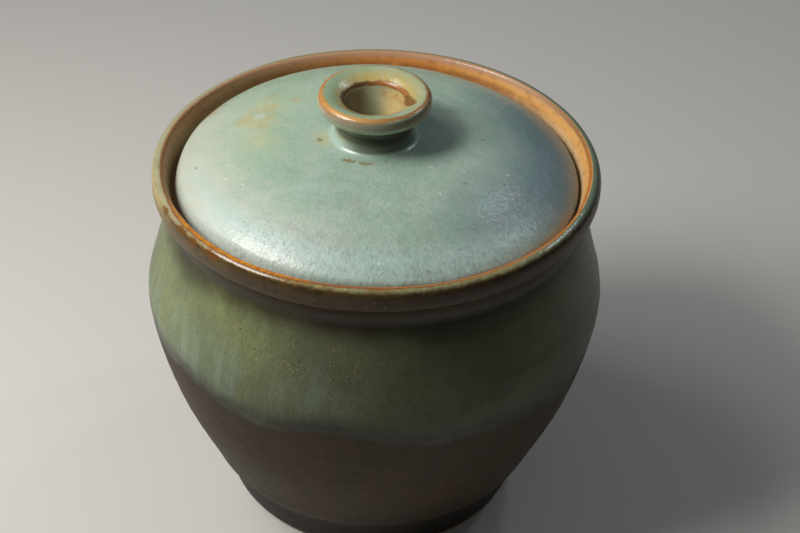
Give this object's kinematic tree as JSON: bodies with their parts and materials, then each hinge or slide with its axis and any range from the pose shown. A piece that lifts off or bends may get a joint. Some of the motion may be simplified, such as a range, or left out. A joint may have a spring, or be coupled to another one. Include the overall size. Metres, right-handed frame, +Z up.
{
  "type": "lidded jar",
  "caption": "Wheel-thrown stoneware jar with a rolled rim and turned foot ring, a domed lid that drops onto a ledge inside the rim, and a hollow flared knob set on the lid.",
  "frame": {"origin": "centre of the foot ring's standing face, on the table", "axes": "+Z up along the jar's turning axis, +X to the right and +Y away from the viewer in the picture"},
  "size_m": [0.147, 0.147, 0.146],
  "materials": {
    "jar_glaze": "olive to grey-green celadon glaze, satin to gloss, breaking brown and orange at the rim",
    "lid_glaze": "pale blue-green celadon glaze, satin, with fine dark flecks",
    "knob_glaze": "glossy pale green glaze, breaking orange-brown along the lip and the edge of the hollow"
  },
  "bodies": {
    "jar": {"jar_body": "jar_glaze"},
    "lid": {"lid": "lid_glaze", "lid_knob": "knob_glaze"}
  },
  "joints": [
    {"name": "lid_lift", "type": "slide", "parent": "jar", "child": "lid", "axis": [0, 0, 1], "range_m": [0, 0.15]}
  ]
}
